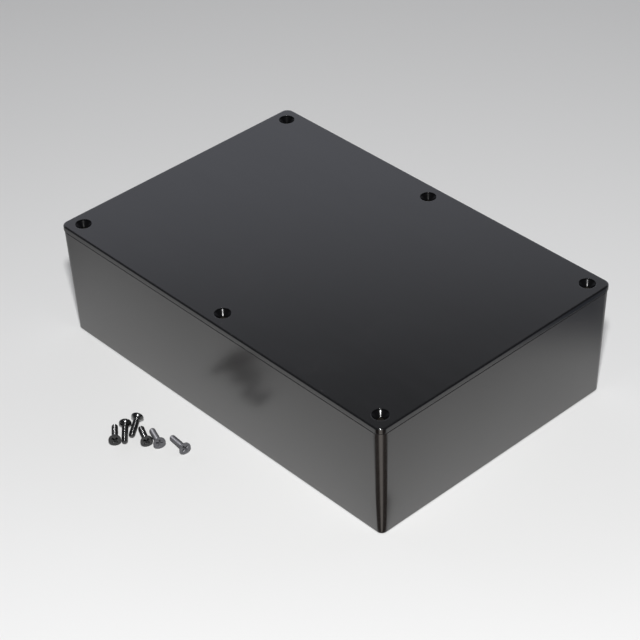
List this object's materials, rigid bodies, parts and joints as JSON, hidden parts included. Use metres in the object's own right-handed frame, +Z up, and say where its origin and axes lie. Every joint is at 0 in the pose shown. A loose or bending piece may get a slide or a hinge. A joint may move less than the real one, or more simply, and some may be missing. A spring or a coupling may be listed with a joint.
{
  "type": "plastic project box",
  "caption": "Black moulded plastic project box with drafted walls, a flat screwed cover, inner bosses and card guides, and its loose cover screws beside it.",
  "frame": {"origin": "centre of the flat underside of the box, on the surface that it stands on", "axes": "+X along the length of the box, +Y across it to the side away from the loose screws, +Z up through the cover"},
  "size_m": [0.22, 0.1936, 0.062],
  "materials": {
    "base_plastic": "fine satin moulded texture, black",
    "cover_plastic": "smooth satin moulded surface, black",
    "insert_brass": "machined",
    "screw_steel": "blackened, glossy"
  },
  "bodies": {
    "root": {"base": "base_plastic", "cover": "cover_plastic", "threaded_inserts": "insert_brass", "cover_screws": "screw_steel"}
  },
  "joints": []
}
